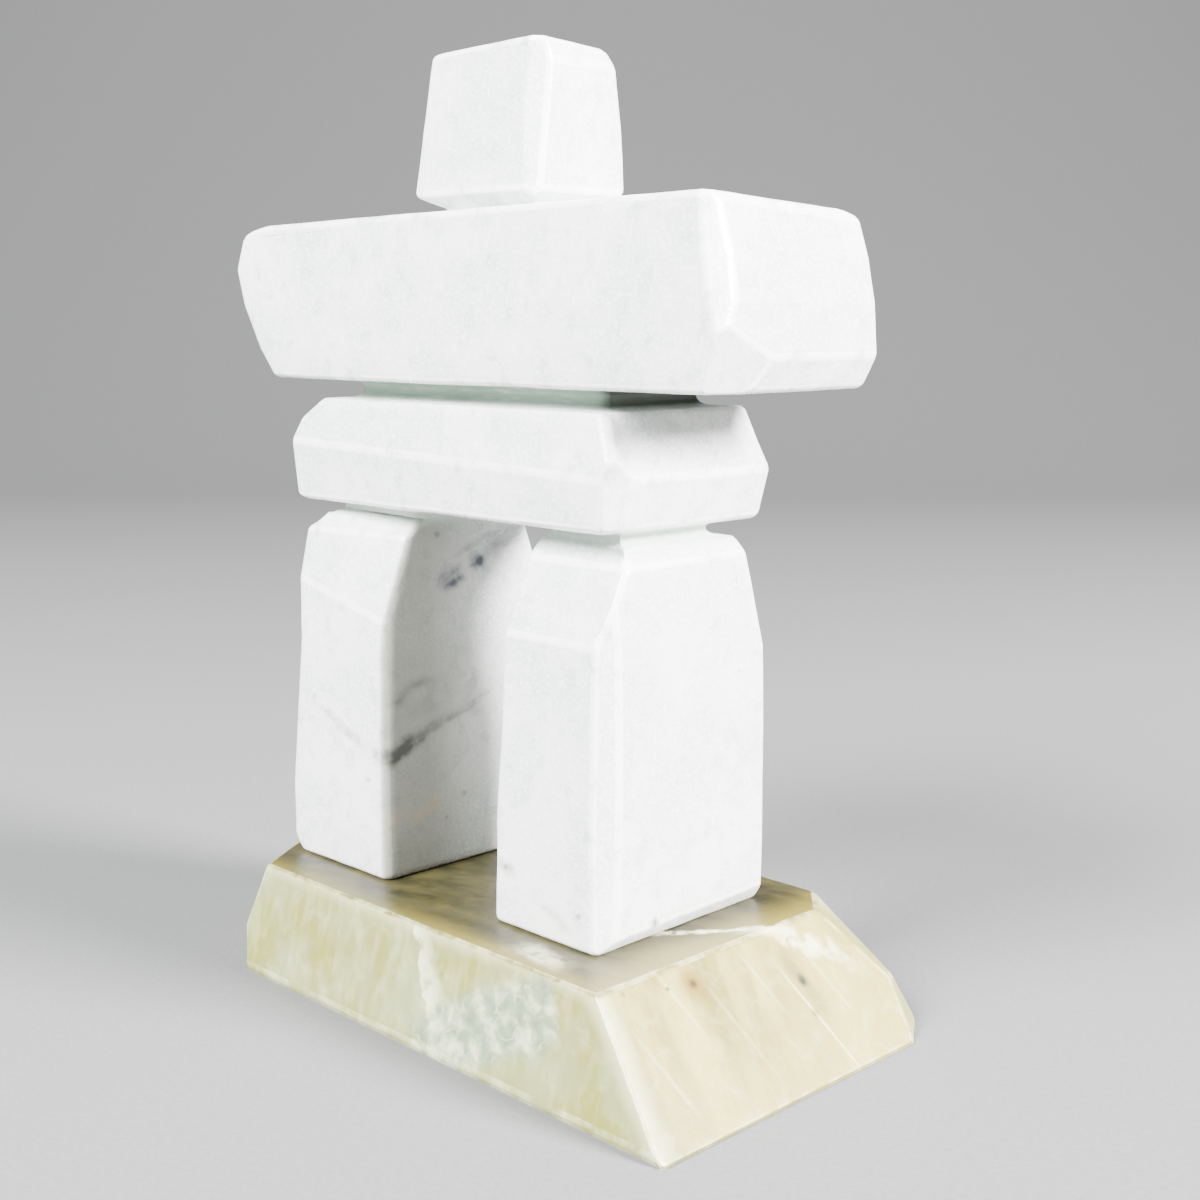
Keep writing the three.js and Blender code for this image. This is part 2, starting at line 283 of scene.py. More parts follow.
def left_leg():
    hip = groove(97.9, 101.7, (-57.4, -20.8, -22.5, 17.3), (-53.5, -20.8, -20.3, 12.7), 0.25)
    leg = drawn_up("left_leg", [
        (0, -64.4, -19.8, -33.4, 28.1),
        (20, -64.4, -19.8, -33.4, 28.1),
        (41, -62.4, -19.8, -32.9, 28.1),
        (62, -60.0, -19.8, -32.4, 28.1),
        (76, -61.1, -20.3, -31.6, 28.1),
        (93.8, -60.6, -20.8, -26.0, 20.3),
        (96.6, -59.0, -20.8, -24.0, 18.9),
        (97.5, -58.2, -20.8, -23.2, 18.1),
        *hip,
        (105, *hip[-1][1:]),
    ], 3.2, 3.2)
    nudge(leg, lambda x, y, z: 75 < z < 77 and x < -42, (0, 0, 3.8))
    nudge(leg, lambda x, y, z: 75 < z < 77 and x > -42, (0, 0, -4.2))
    nudge(leg, lambda x, y, z: 90 < z < 98.5 and x < -42 and y < 0, (0, -2.4, 0))
    nudge(leg, lambda x, y, z: 90 < z < 98.5 and x > -42 and y < 0, (0, 2.2, 0))
    nudge(leg, lambda x, y, z: 96 < z < 97.8 and y < 0, (0, 0, -1.4))
    grind(leg, (-64.4, -33.4, 5.5), (-64.4, 28.1, 5.5), (-59.4, -33.4, 0))
    soften(leg, 1.0, lambda a, b: around(a, b) and max(a.z, b.z) < 94.5)
    soften(leg, 1.8, lambda a, b: max(a.z, b.z) < 8)
    rubbed_round(leg)
    return leg


def torso():
    shoulder = groove(130.3, 135.4, (-54.0, 55.4, -25.0, 24.0), (-48.8, 49.4, -16.5, 15.2), 0.6)
    slab = drawn_up("torso", [
        (101.6, -65.4, 59.9, -28.3, 28.0),
        (116.3, -66.5, 62.9, -29.5, 28.9),
        (122.6, -63.4, 60.6, -27.9, 27.2),
        (129.2, -56.4, 57.3, -26.5, 25.6),
        (130.0, -55.1, 56.4, -26.0, 25.0),
        *shoulder,
        (139, *shoulder[-1][1:]),
    ], 3.6)
    nudge(slab, lambda x, y, z: 115 < z < 125 and x < 0, (0, 0, 1.8))
    nudge(slab, lambda x, y, z: 115 < z < 125 and x > 0, (0, 0, -1.7))
    grind(slab, (58.4, -28.8, 106), (60.9, -22.6, 106), (59.9, -29.4, 115))
    grind(slab, (-65.6, -28.3, 105.2), (-65.6, 28.0, 105.2), (-61.4, -28.3, 101.6))
    soften(slab, 1.1, lambda a, b: around(a, b) and max(a.z, b.z) < 128)
    soften(slab, 2.2, lambda a, b: around(a, b) and max(a.z, b.z) < 106)
    soften(slab, 1.3, lambda a, b: (
        upright(a, b) and min(a.x, b.x) > 57 and max(a.y, b.y) < -20 and min(a.z, b.z) < 110
    ))
    soften(slab, 2.4, lambda a, b: (
        upright(a, b) and min(a.x, b.x) > 50 and max(a.y, b.y) < -20 and 115 < min(a.z, b.z) < 126
    ))
    rubbed_round(slab)
    return slab


def arm_stone():
    stone = drawn_up("arms", [
        (135.2, -76.0, 91.1, -27.7, 28.2),
        (143.2, -81.9, 94.9, -28.5, 29.0),
        (155.5, -89.5, 94.0, -28.5, 29.0),
        (165.6, -93.5, 91.9, -27.9, 29.0),
        (177.2, -90.2, 88.4, -26.6, 28.6),
    ], 3.0)
    nudge(stone, lambda x, y, z: z > 170 and y > 0, (0, 0, -1.6))
    nudge(stone, lambda x, y, z: z > 170 and y < 0, (0, 0, 1.4))
    nudge(stone, lambda x, y, z: z > 170 and x < 0, (0, 0, -0.8))
    nudge(stone, lambda x, y, z: z > 170 and x > 0, (0, 0, 0.8))
    grind(stone, (-79.0, -26.6, 177.8), (-79.0, 28.6, 174.8), (-90.2, -26.6, 175.9))
    grind(stone, (-85.6, -26.6, 176.7), (-85.6, 28.6, 174.0), (-91.6, -26.6, 171.8))
    grind(stone, (89.2, -27.7, 166.2), (90.2, -22.9, 171.6), (93.0, -22.9, 159.9))
    grind(stone, (93.8, -28.5, 150.5), (89.2, -28.0, 137.7), (94.6, -18.5, 146.7))
    soften(stone, 1.8, around)
    soften(stone, 1.0, lambda a, b: 142 < min(a.z, b.z) and max(a.z, b.z) < 145)
    soften(stone, 2.8, lambda a, b: around(a, b) and min(a.z, b.z) > 172 and min(a.y, b.y) > 20)
    soften(stone, 0.7, lambda a, b: around(a, b) and 165 < min(a.z, b.z) < 166.5 and max(a.x, b.x) < -83)
    soften(stone, 2.4, lambda a, b: around(a, b) and min(a.z, b.z) > 166.5 and max(a.x, b.x) < -83)
    soften(stone, 1.3, lambda a, b: upright(a, b) and min(a.x, b.x) > 85 and max(a.y, b.y) < -5)
    soften(stone, 0.8, lambda a, b: min(a.x, b.x) > 85 and max(a.y, b.y) < -5 and max(a.z, b.z) < 151)
    rubbed_round(stone)
    return stone


def head():
    neck = groove(177.2, 180.6, (-18.4, 19.4, -13.2, 13.2), (-16.8, 18.0, -11.7, 11.8), 0.3)
    stone = drawn_up("head", [
        (174, *neck[0][1:]),
        *neck,
        (183.3, -24.2, 22.2, -16.9, 16.8),
        (200.2, -22.1, 22.2, -15.4, 15.7),
        (214.5, -21.0, 22.1, -13.5, 13.8),
        (219.0, -20.3, 20.6, -12.9, 11.5),
    ], 2.0)
    nudge(stone, lambda x, y, z: z > 217 and y > 0, (0, 0, -0.9))
    nudge(stone, lambda x, y, z: z > 217 and y < 0, (0, 0, 0.9))
    nudge(stone, lambda x, y, z: z > 217 and x < 0, (0, 0, -0.5))
    nudge(stone, lambda x, y, z: z > 217 and x > 0, (0, 0, 0.5))
    grind(stone, (18.5, -13.2, 216.0), (21.3, -10.5, 216.0), (18.7, -16.7, 186.5))
    soften(stone, 1.2, lambda a, b: around(a, b) and min(a.z, b.z) > 182)
    soften(stone, 1.8, lambda a, b: min(a.z, b.z) > 216 and max(a.x, b.x) < -15)
    soften(stone, 1.1, lambda a, b: (
        upright(a, b) and min(a.z, b.z) > 182 and min(a.x, b.x) > 19.5 and max(a.y, b.y) < -6
    ))
    rubbed_round(stone)
    return stone


def marble_figure():
    """The whole figure: its stones are carved of one block, and run together at the waists."""
    figure = torso()
    for stone in (left_leg(), right_leg(), arm_stone(), head()):
        finished_with(figure, "BOOLEAN", operation="UNION", object=stone, solver="EXACT")
        bpy.data.objects.remove(stone)
    figure.name = "carved_figure"
    figure.data.name = "carved_figure"
    divided(figure)
    worked(figure, *FIGURE_WAVES)
    bpy.ops.object.shade_smooth_by_angle(angle=radians(SMOOTH_ANGLE))
    bpy.ops.transform.translate(value=Vector((FIGURE_X, FIGURE_Y, PLINTH_TOP)) * MM)
    bpy.ops.object.transform_apply()
    return figure


def serpentine_plinth():
    """The plinth, in millimetres from the middle of its underside."""
    plinth = drawn_up("hewn_plinth", [
        (0, -96.8, 99.2, -52.6, 52.6),
        (2.1, -99.8, 99.8, -53.0, 53.0),
        (12, -92.0, 89.6, -50.3, 49.7),
        (30, -80.9, 71.9, -46.0, 45.7),
    ], 0.8)
    grind(plinth, (-62.3, -53.0, 2.1), (-99.8, -2.0, 2.1), (-65.6, -50.3, 12))
    grind(plinth, (-65.6, -50.3, 12), (-92.0, -8.3, 12), (-60.5, -46.0, 30))
    grind(plinth, (89.6, 53.0, 2.1), (99.8, 38.0, 2.1), (85.4, 49.7, 12))
    grind(plinth, (85.4, 49.7, 12), (89.6, 44.9, 12), (71.9, 34.6, 30))
    grind(plinth, (-82.4, 53.0, 2.1), (-99.8, 33.2, 2.1), (-67.4, 45.7, 30))
    grind(plinth, (72.0, 7.5, 30), (98.9, 20.0, 1), (88.8, 44.0, 12))
    grind(plinth, (94.8, -53.0, 2.1), (99.8, -48.2, 2.1), (91.6, -50.8, 9.0))
    soften(plinth, 0.9, lambda a, b: True)
    rubbed_round(plinth)
    divided(plinth)
    worked(plinth, *PLINTH_WAVES)
    pick(plinth, lambda x, y, z: z < UNDERSIDE)
    bpy.ops.transform.resize(value=(1, 1, 0), center_override=(0, 0, 0))
    done()
    bpy.ops.object.shade_smooth_by_angle(angle=radians(SMOOTH_ANGLE))
    return plinth


figure = marble_figure()
plinth = serpentine_plinth()

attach(figure, "root")
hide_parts("marble_figure")
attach(plinth, "root")
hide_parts("serpentine_plinth")


class Recipe:
    """A material. Every size and place in it is in millimetres."""

    def __init__(self, name, shift=(0, 0, 0)):
        self.material = bpy.data.materials.new(name)
        self.material.use_nodes = True
        self.tree = self.material.node_tree
        self.shader = self.tree.nodes["Principled BSDF"]
        coordinates = self.tree.nodes.new("ShaderNodeTexCoord")
        mapping = self.tree.nodes.new("ShaderNodeMapping")
        mapping.inputs["Location"].default_value = shift
        mapping.inputs["Scale"].default_value = (1 / MM, 1 / MM, 1 / MM)
        self.tree.links.new(coordinates.outputs["Object"], mapping.inputs["Vector"])
        self.place = mapping.outputs["Vector"]

    def put(self, kind, settings, inputs, output=0):
        """Adds a node. An input is a number, a tuple or another node's output."""
        node = self.tree.nodes.new(kind)
        for name, value in settings.items():
            setattr(node, name, value)
        for name, value in inputs.items():
            if isinstance(value, bpy.types.NodeSocket):
                self.tree.links.new(value, node.inputs[name])
            elif value is not None:
                node.inputs[name].default_value = value
        return node.outputs[output]

    def axes(self):
        """How far across, how deep and how high the place is."""
        return [self.put("ShaderNodeSeparateXYZ", {}, {0: self.place}, axis) for axis in range(3)]

    def math(self, kind, a, b=None):
        return self.put("ShaderNodeMath", {"operation": kind}, {0: a, 1: b})

    def times(self, *shares):
        """The product of several shares."""
        product = shares[0]
        for share in shares[1:]:
            product = self.math("MULTIPLY", product, share)
        return product

    def largest(self, shares):
        """The largest of several shares."""
        most = shares[0]
        for share in shares[1:]:
            most = self.math("MAXIMUM", most, share)
        return most

    def vector(self, kind, a, b=None, output=0):
        return self.put("ShaderNodeVectorMath", {"operation": kind}, {0: a, 1: b}, output)

    def noise(self, size, detail=2, where=None, output="Fac"):
        inputs = {"Vector": where or self.place, "Scale": 1 / size, "Detail": detail}
        return self.put("ShaderNodeTexNoise", {}, inputs, output)

    def fade(self, value, start, stop):
        """Runs softly from 0 at start to 1 at stop; start may be the larger."""
        inputs = {"Value": value, "From Min": start, "From Max": stop}
        return self.put("ShaderNodeMapRange", {"interpolation_type": "SMOOTHSTEP"}, inputs)

    def slide(self, value, start, stop, low, high):
        """Runs evenly from low at start to high at stop."""
        inputs = {"Value": value, "From Min": start, "From Max": stop, "To Min": low, "To Max": high}
        return self.put("ShaderNodeMapRange", {}, inputs)

    def blend(self, share, a, b):
        """Runs from the first colour to the second as the share runs from 0 to 1."""
        a, b = (value if isinstance(value, bpy.types.NodeSocket) else (*value, 1) for value in (a, b))
        return self.put("ShaderNodeMix", {"data_type": "RGBA"}, {0: share, 6: a, 7: b}, 2)

    def wandering(self, size, reach):
        """The place, pushed about by a noise, so that an even shape becomes a natural one."""
        push = self.vector("SUBTRACT", self.noise(size, 2, output="Color"), (0.5, 0.5, 0.5))
        push = self.vector("MULTIPLY", push, (2 * reach, 2 * reach, 2 * reach))
        return self.vector("ADD", self.place, push)

    def layered(self, facing, along, thick):
        """The place, measured so that an even noise lies in layers that face one way."""
        turn = Vector(facing).rotation_difference(Vector((0, 0, 1))).to_euler()
        turned = self.put("ShaderNodeMapping", {}, {"Vector": self.place, "Rotation": tuple(turn)})
        return self.vector("DIVIDE", turned, (along, along, thick))

    def spot(self, centre, radius, soft=0.4, where=None):
        """A round spot that fades out over the soft share of its radius."""
        away = self.vector("DISTANCE", where or self.place, centre, "Value")
        return self.fade(away, radius, radius * (1 - soft))

    def sheet(self, where, facing, through, width, reach):
        """A flat vein through a point, that fades out at its width and at its reach from there."""
        facing = Vector(facing).normalized()
        off = self.vector("DOT_PRODUCT", where, tuple(facing), "Value")
        off = self.math("ABSOLUTE", self.math("SUBTRACT", off, facing.dot(Vector(through))))
        return self.times(self.fade(off, width, width * 0.15), self.spot(through, reach, 0.7))

    def finish(self, colour, roughness, height, depth):
        """Joins the colour, the roughness and a bump of that depth to the shader."""
        self.tree.links.new(colour, self.shader.inputs["Base Color"])
        self.tree.links.new(roughness, self.shader.inputs["Roughness"])
        bump = self.put("ShaderNodeBump", {}, {"Height": height, "Distance": depth * MM})
        self.tree.links.new(bump, self.shader.inputs["Normal"])
        return self.material


# The marble's colours, and the way that the sheets of its veins face
SNOW = (0.80, 0.80, 0.795)
COOL_SNOW = (0.655, 0.69, 0.675)
MIST = (0.50, 0.555, 0.535)
SUGAR = (0.95, 0.95, 0.945)
SMOKE = (0.07, 0.075, 0.10)
SOOT = (0.055, 0.055, 0.045)
WARM_INNER_SHADE = (0.165, 0.16, 0.115)
DUST = (0.22, 0.225, 0.21)
RUST = (0.50, 0.33, 0.17)
SAGE = (0.30, 0.41, 0.32)
PALE_SAGE = (0.62, 0.80, 0.67)
SHOULDER_GROOVE_SHADOW = (0.07, 0.085, 0.06)
SHEET_DIP = (0.41, -0.35, 1.0)


def marble(name, pale, cool, sheen):
    """The figure's stone. Its ground and its rubbed edges differ in their smoothness, and the rubbed
    edges are painted whiter as a painted highlight.
    """
    stone = Recipe(name, (-FIGURE_X, -FIGURE_Y, -PLINTH_TOP))
    across, depth, height = stone.axes()
    near = stone.wandering(5, 1.8)
    sugar = stone.noise(0.9, 1)
    mottle = stone.noise(5, 3)
    strands = stone.noise(1, 3, stone.layered(SHEET_DIP, 9, 2.6))
    colour = stone.blend(stone.fade(stone.noise(26, 2), 0.38, 0.62), cool, pale)
    colour = stone.blend(stone.times(stone.fade(mottle, 0.48, 0.72), 0.65), colour, MIST)
    colour = stone.blend(stone.times(stone.fade(sugar, 0.50, 0.68), 0.6), colour, SUGAR)

    # The inner face of the left leg gets painted shade, darker and warmer towards its front; it is dusty
    # above its streak, and rusty in two places below
    side = stone.times(stone.fade(across, -23, -20.8), stone.fade(across, -15, -18))
    inner = stone.times(side, stone.fade(height, 101, 97))
    colour = stone.blend(stone.times(inner, stone.fade(depth, 12, -20), 0.75), colour, WARM_INNER_SHADE)
    thick_strands = stone.times(stone.fade(strands, 0.2, 0.65), 0.7)
    broken = stone.math("ADD", thick_strands, stone.times(stone.fade(mottle, 0.35, 0.65), 0.4))
    dust = stone.sheet(near, SHEET_DIP, (-20, -23, 45), 11, 27)
    colour = stone.blend(stone.times(dust, inner, broken, 0.5), colour, DUST)
    rusty = stone.largest([
        stone.sheet(near, SHEET_DIP, (-20, -29.7, 17.1), 1.2, 7),
        stone.sheet(near, SHEET_DIP, (-20, -18.6, 17.6), 2.4, 9),
    ])
    colour = stone.blend(stone.times(rusty, broken, 0.45), colour, RUST)

    # Smoky streaks, each in its own sheet, with how wide it is, how far it reaches and how dark it is
    streaks = stone.largest([
        stone.times(stone.sheet(near, SHEET_DIP, through, width, reach), strength)
        for through, width, reach, strength in (
            ((-20, -27.5, 36.3), 3.6, 9, 1.0),
            ((-20, -18, 40.0), 2.4, 10, 0.65),
            ((-20, -6, 44.0), 1.7, 16, 0.4),
            ((-20, -25, 52.0), 2.4, 12, 0.4),
            ((-40, -33, 40.5), 2.2, 20, 0.3),
            ((-21, -8.5, 81.6), 4.6, 6.5, 1.0),
            ((-21, 0.5, 85.0), 4.2, 4.6, 1.0),
            ((-21, 9, 89.5), 3.2, 12, 0.45),
            ((-21, 2, 90.5), 1.6, 12, 0.3),
            ((28, -32, 15.2), 2.6, 5, 0.5),
            ((46, -32, 7.0), 2.6, 8, 0.3),
            ((62, 4, 23.0), 2.2, 34, 0.12),
            ((-64, 10, 60), 2.4, 38, 0.35),
            ((40, 29, 52), 2.4, 34, 0.35),
            ((-30, 28, 24), 2.6, 30, 0.4),
            ((-20, 29, 150), 2.4, 70, 0.25),
        )
    ])
    streaks = stone.times(streaks, stone.math("ADD", broken, 0.15))

    # Single specks, each at its place with its radius and strength
    specks = stone.largest([
        stone.times(stone.spot(centre, radius, 1.0, near), strength)
        for centre, radius, strength in (
            ((-47.3, -32.9, 43.3), 2.0, 0.5),
            ((-40.6, -32.9, 40.2), 2.2, 0.4),
            ((-52.2, -32.8, 46.8), 1.6, 0.35),
            ((-24.2, -33.0, 35.2), 3.0, 0.6),
            ((-27.4, -33.2, 27.6), 1.6, 0.45),
            ((-54.8, -28.1, 93.0), 1.6, 0.4),
            ((27.9, -32.2, 15.3), 2.4, 0.8),
            ((54.9, -32.2, 9.5), 1.3, 0.6),
            ((61.9, -13.0, 4.5), 2.0, 0.9),
            ((61.2, 18.0, 64.0), 1.0, 0.6),
            ((29.6, -31.1, 65.2), 1.0, 0.5),
            ((-59.7, -28.1, 161.4), 1.0, 0.5),
            ((-64.3, -28.5, 145.3), 1.2, 0.4),
            ((-19.8, -5.2, 19.6), 1.6, 0.5),
            ((-19.8, -12.2, 13.8), 1.2, 0.4),
            ((-20.8, -13.1, 94.1), 1.8, 0.6),
        )
    ])
    smoke = stone.blend(stone.fade(height, 55, 75), SOOT, SMOKE)
    colour = stone.blend(stone.math("MAXIMUM", streaks, specks), colour, smoke)

    # Painted shade in the hip and shoulder grooves, tinted green for the light that comes through the
    # thin stone; the shoulder groove's right end gets painted deep shadow
    hips = stone.times(stone.fade(height, 95.2, 98.2), stone.fade(height, 101.8, 101.4))
    shoulder = stone.times(stone.fade(height, 130.1, 131.4), stone.fade(height, 135.4, 134.9))
    scored = stone.fade(stone.noise(1, 2, stone.layered((0, 0, 1), 5, 0.6)), -0.2, 0.6)
    colour = stone.blend(stone.times(hips, scored, 0.45), colour, PALE_SAGE)
    colour = stone.blend(stone.times(shoulder, scored), colour, SAGE)
    # Painted deep shadow in the right end of the shoulder groove, under the arms
    colour = stone.blend(stone.times(shoulder, stone.fade(across, 44, 50)), colour, SHOULDER_GROOVE_SHADOW)

    stone.shader.inputs["IOR"].default_value = 1.49
    return stone.finish(colour, stone.slide(sugar, 0, 1, sheen, sheen + 0.25), sugar, 0.07)


# The serpentine's colours
YELLOW_GREEN = (0.205, 0.20, 0.034)
PALE_GREEN = (0.25, 0.262, 0.12)
CREAM = (0.16, 0.13, 0.018)
PALE_CREAM = (0.35, 0.30, 0.08)
OLIVE = (0.018, 0.017, 0.006)
TAN = (0.05, 0.042, 0.015)
MILK = (0.70, 0.70, 0.45)
ICE = (0.20, 0.27, 0.18)
MOSS = (0.11, 0.14, 0.085)
HONEY = (0.16, 0.098, 0.0)
UMBER = (0.03, 0.014, 0.0)


def serpentine(name, edge_highlight, sheen):
    """The plinth's stone: its rubbed edges are painted paler than its ground, a painted highlight along
    them.
    """
    stone = Recipe(name)
    across, depth, height = stone.axes()
    near = stone.wandering(6, 3.0)
    wisps = stone.noise(5, 4, near)
    clouds = stone.noise(18, 3, near)
    colour = stone.blend(stone.fade(clouds, 0.30, 0.68), YELLOW_GREEN, PALE_GREEN)
    drips = stone.noise(1, 3, stone.layered((0, 0, 1), 3.5, 14))
    colour = stone.blend(stone.times(stone.fade(drips, 0.40, 0.80), 0.18), colour, MILK)
    colour = stone.blend(stone.times(stone.fade(wisps, 0.5, 0.8), 0.18), colour, MILK)
    # Paler towards the top edge of the sides: a painted highlight along that edge
    colour = stone.blend(stone.times(stone.fade(height, 26, 30), 0.3), colour, MILK)

    # Front: a ragged white vein, sharp on its left and wider towards its foot
    front = stone.fade(depth, -20, -44)
    lean = Vector((0.88, 0.0, 0.47)).normalized()
    off = stone.vector("DOT_PRODUCT", near, tuple(lean), "Value")
    start = lean.dot(Vector((12.5, -49, 17)))
    widening = stone.slide(height, 30, 2, 5, 13)
    vein = stone.slide(stone.math("SUBTRACT", off, start), widening, 0, 0, 1)
    vein = stone.times(vein, stone.fade(off, start - 0.4, start + 0.4), stone.fade(wisps, 0.25, 0.55))
    colour = stone.blend(stone.times(vein, front), colour, MILK)

    # A cloud of icy crystals to the right of the vein, with dark hollows and white frost
    beside = stone.vector("DOT_PRODUCT", near, (0.94, 0.0, 0.34), "Value")
    icy = stone.sheet(near, (-0.42, 0.0, 0.9), (43, -49, 15.5), 12, 42)
    icy = stone.fade(stone.times(icy, stone.fade(beside, 67, 59)), 0.0, 0.55)
    icy = stone.times(icy, front)
    colour = stone.blend(stone.times(icy, 0.8), colour, ICE)
    colour = stone.blend(stone.times(icy, stone.fade(wisps, 0.46, 0.32), 0.5), colour, MOSS)
    cracks = stone.math("ABSOLUTE", stone.math("SUBTRACT", stone.noise(9, 3, near), 0.5))
    cracks = stone.times(stone.fade(cracks, 0.025, 0.0), 0.5)
    frost = stone.math("MAXIMUM", stone.fade(wisps, 0.44, 0.74), cracks)
    colour = stone.blend(stone.times(icy, frost, 0.7), colour, MILK)

    # Cream end, with faint layers that run down the slope
    outward = stone.vector("DOT_PRODUCT", stone.place, (1.0, 0.0, 1.0), "Value")
    layers = stone.noise(1, 3, stone.layered((0.33, 0.94, 0.0), 60, 9))
    cream = stone.blend(stone.fade(layers, 0.34, 0.66), CREAM, PALE_CREAM)
    cream = stone.blend(stone.times(stone.fade(height, 24, 4), 0.45), cream, PALE_CREAM)
    cream = stone.blend(stone.times(stone.fade(depth, -25, 35), 0.65), cream, PALE_CREAM)
    cream = stone.blend(stone.times(stone.fade(wisps, 0.45, 0.85), 0.2), cream, MILK)
    colour = stone.blend(stone.fade(outward, 95, 101), colour, cream)

    # Light gathers in the near corner, where the front meets the end
    forward = stone.vector("DOT_PRODUCT", stone.place, (0.0, 1.0, -0.23), "Value")
    corner = stone.times(stone.fade(forward, -46, -53), stone.fade(outward, 94, 101))
    colour = stone.blend(stone.times(corner, 0.4), colour, MILK)

    # Olive and tan top, darkened past its own brown as painted shade, and paler towards its right and
    # front rims
    brown = stone.noise(1, 4, stone.layered((-0.2, 0.98, 0.0), 28, 8))
    tops = stone.blend(stone.fade(brown, 0.36, 0.62), OLIVE, TAN)
    tops = stone.blend(stone.times(stone.fade(wisps, 0.45, 0.85), 0.3), tops, CREAM)
    front_rim = stone.times(stone.fade(depth, -36, -47), 0.7)
    tops = stone.blend(stone.math("MAXIMUM", stone.fade(across, 56, 76), front_rim), tops, CREAM)
    colour = stone.blend(stone.fade(height, 28.9, 29.8), colour, tops)

    # Crease and thin straight veins down the end, each with its place, width, reach and strength
    down_the_end = (-0.33, 0.94, 0.0)
    for through, width, reach, strength in (
        ((90.5, 14.9, 10), 0.55, 24, 0.55),
        ((88.0, -38.5, 14), 0.9, 17, 0.18),
        ((78.0, -24.5, 24), 0.8, 14, 0.2),
        ((86.0, -11.0, 16), 0.9, 19, 0.14),
        ((80.0, 3.0, 22), 0.8, 13, 0.2),
        ((84.0, 24.0, 18), 0.9, 14, 0.2),
    ):
        share = stone.times(stone.sheet(stone.place, down_the_end, through, width, reach), strength)
        colour = stone.blend(share, colour, MILK)

    # Broken white veins, each with its sheet's facing, place, width, reach and strength
    for facing, through, width, reach, strength in (
        ((0.894, -0.448, 0.0), (76, 23, 26), 3.4, 22, 0.8),
        ((0.785, -0.62, 0.0), (62, 2, 30), 1.6, 18, 0.8),
        ((0.2, 1.0, 0.3), (45, -38.5, 30), 5.0, 13, 0.4),
        ((0.5, 0.8, 0.3), (-60, 10, 30), 2.6, 34, 0.6),
        ((0.9, 0.3, 0.3), (-20, 48, 16), 2.6, 34, 0.8),
        ((-0.6, 0.7, 0.2), (-90, 5, 14), 2.4, 30, 0.8),
    ):
        share = stone.sheet(near, facing, through, width, reach)
        share = stone.times(share, stone.fade(wisps, 0.3, 0.55), strength)
        colour = stone.blend(share, colour, MILK)
    # Painted shadow beside the crease, in tan
    crease_shadow = stone.sheet(stone.place, down_the_end, (83, 16.0, 19), 3.5, 14)
    colour = stone.blend(stone.times(crease_shadow, 0.4), colour, TAN)

    # Stained spots and dark dots, each at its place with its radius
    for centre, radius, stain, strength in (
        ((76.0, -17.6, 25.9), 7.0, HONEY, 1.0),
        ((76.0, -17.6, 25.9), 2.0, UMBER, 1.0),
        ((82.3, 16.0, 20.0), 2.2, OLIVE, 1.0),
        ((82.5, 16.0, 18.7), 2.3, OLIVE, 1.0),
        ((75.2, -25.7, 26.6), 1.0, UMBER, 0.9),
        ((73.4, -38.7, 28.5), 1.2, UMBER, 0.6),
        ((96.0, -45.3, 5.8), 1.1, UMBER, 0.8),
        ((34.0, -42.7, 30.0), 1.1, SOOT, 0.9),
        ((2.0, -16.8, 30.0), 1.1, SOOT, 0.9),
        ((79.0, -12.0, 23.5), 2.4, HONEY, 0.3),
        ((88.5, 13.9, 13.1), 2.0, TAN, 0.7),
    ):
        share = stone.times(stone.spot(centre, radius, 1.0), strength)
        colour = stone.blend(share, colour, stain)

    # Painted highlight on the rubbed edges, broken up by the wisps
    colour = stone.blend(stone.times(stone.fade(wisps, 0.25, 0.65), edge_highlight), colour, MILK)
    roughness = stone.slide(clouds, 0, 1, sheen, sheen + 0.2)
    stone.shader.inputs["IOR"].default_value = 1.5
    return stone.finish(colour, roughness, stone.noise(2.2, 2), 0.08)


figure.data.materials[0] = marble("ground_marble", SNOW, COOL_SNOW, 0.25)
# The rubbed edges are painted whiter: a painted highlight along them
figure.data.materials[1] = marble("rubbed_marble_painted_highlight", SUGAR, SUGAR, 0.15)
plinth.data.materials[0] = serpentine("ground_serpentine", 0.0, 0.3)
# The rubbed edges are painted paler: a painted highlight along them
plinth.data.materials[1] = serpentine("rubbed_serpentine_painted_highlight", 0.38, 0.15)


# Studio, in metres: the side of the floor's paper, how high it rises behind, and the radius of its bend
PAPER_SIDE = 5
PAPER_RISE = 3
PAPER_BEND = 1.2
BEND_STEPS = 24

# The place that the lights face, in metres
FIGURE_MIDDLE = Vector((0, 0, 0.12))

# Colours of the paper and of the weak light from all around
PAPER_GREY = (0.125, 0.125, 0.1275)
PAPER_PALE = (0.14, 0.14, 0.1425)
DAYLIGHT = (0.93, 0.96, 1.0)
DAYLIGHT_STRENGTH = 0.15


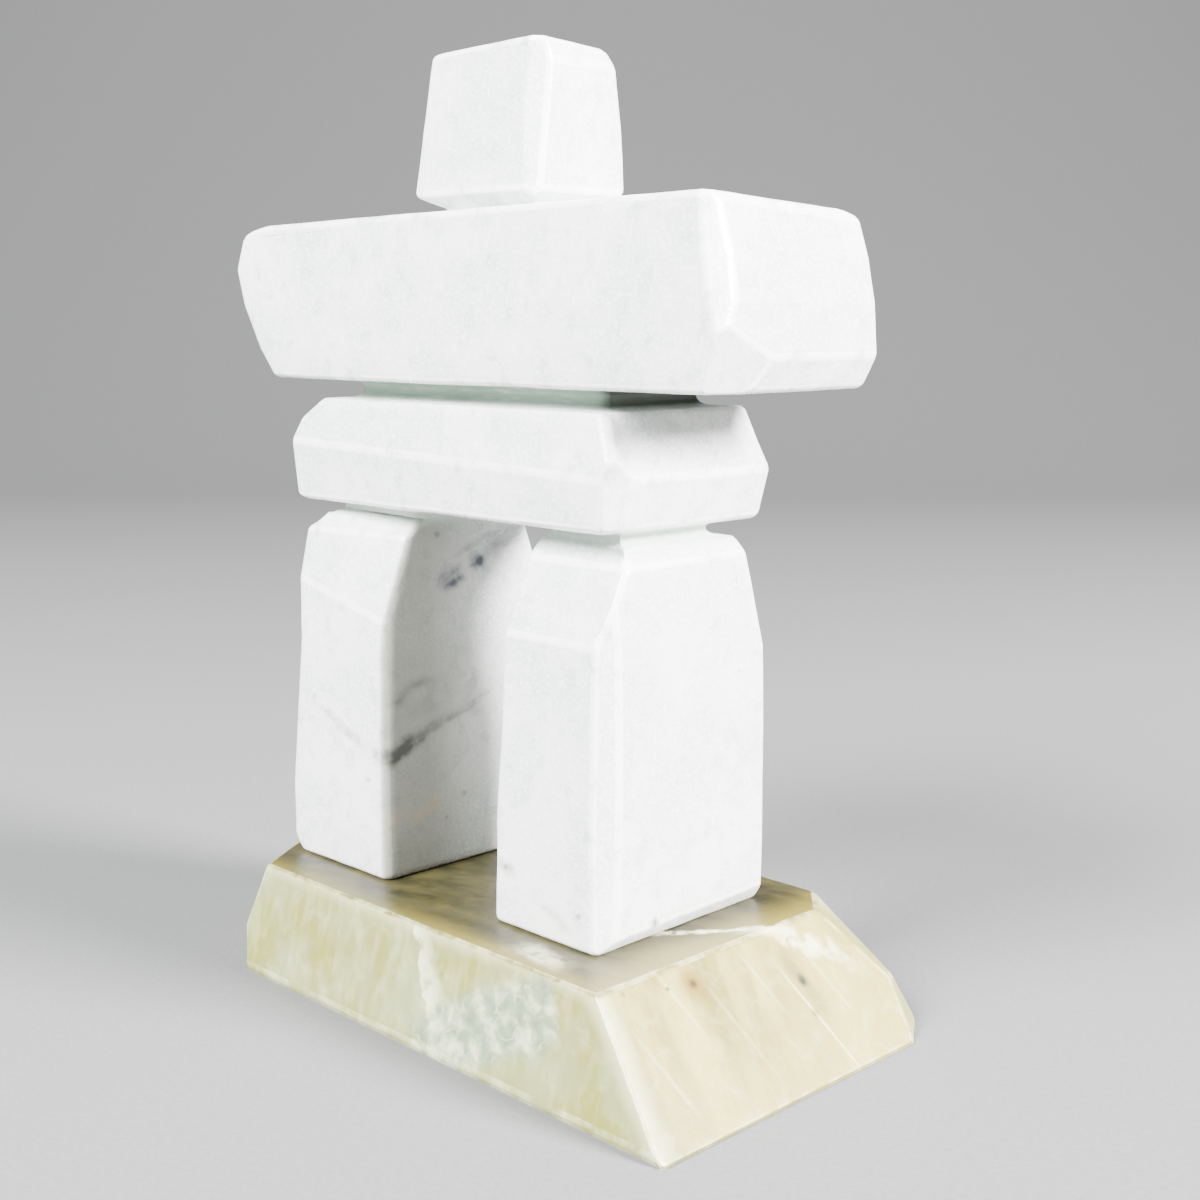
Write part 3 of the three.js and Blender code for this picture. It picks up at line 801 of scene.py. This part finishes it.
def paper_sweep():
    """One square sheet of paper, turned to face the camera, that curves up behind the figure."""
    away = CAMERA_DIRECTION.xy
    bpy.ops.object.select_all(action="DESELECT")
    bpy.ops.mesh.primitive_plane_add(size=PAPER_SIDE)
    sweep = bpy.context.active_object
    sweep.name = "paper_sweep"
    edit(sweep)
    bpy.ops.mesh.select_all(action="SELECT")
    bpy.ops.transform.rotate(value=radians(-45), orient_axis="Z", center_override=(0, 0, 0))
    done()
    pick(sweep, lambda x, y, z: away.dot(Vector((x, y))) > 0)
    bpy.ops.mesh.extrude_region_move(TRANSFORM_OT_translate={"value": (0, 0, PAPER_RISE)})
    done()
    pick(sweep, lambda x, y, z: away.dot(Vector((x, y))) > 0 and z < 1)
    bpy.ops.mesh.bevel(offset=PAPER_BEND, segments=BEND_STEPS, affect="EDGES")
    done()
    bpy.ops.object.shade_smooth()
    return sweep


def paper():
    """Matt paper with a faint fibre."""
    sheet = Recipe("pale_paper")
    fibre = sheet.noise(1.5, 4)
    colour = sheet.blend(sheet.fade(fibre, 0.3, 0.7), PAPER_GREY, PAPER_PALE)
    return sheet.finish(colour, sheet.slide(fibre, 0, 1, 0.85, 0.95), fibre, 0.05)


def soft_light(name, place, size, power, colour):
    """A round soft box that faces the figure."""
    bpy.ops.object.light_add(type="AREA", location=place)
    light = bpy.context.active_object
    light.name = name
    light.data.shape = "DISK"
    light.data.size = size
    light.data.energy = power
    light.data.color = colour
    light.rotation_euler = (FIGURE_MIDDLE - Vector(place)).to_track_quat("-Z", "Y").to_euler()


def daylight():
    """Weak light from all around."""
    world = bpy.data.worlds.new("studio")
    world.use_nodes = True
    background = world.node_tree.nodes["Background"]
    background.inputs["Color"].default_value = (*DAYLIGHT, 1)
    background.inputs["Strength"].default_value = DAYLIGHT_STRENGTH
    bpy.context.scene.world = world


def camera():
    """The camera, where the photograph was taken from."""
    bpy.ops.object.camera_add(location=CAMERA_PLACE)
    viewer = bpy.context.active_object
    viewer.name = "camera"
    viewer.rotation_euler = CAMERA_DIRECTION.to_track_quat("-Z", "Y").to_euler()
    viewer.data.lens = LENS
    viewer.data.sensor_width = SENSOR
    viewer.data.clip_start = 0.01
    return viewer


sweep = paper_sweep()
sweep.data.materials.append(paper())
soft_light("right_light", (1.42, 0.5, 0.90), 0.6, 300, (1, 0.985, 0.99))
soft_light("front_light", (-0.1, -1.4, 1.3), 0.9, 265, (0.98, 1, 0.99))
daylight()
bpy.context.scene.camera = camera()
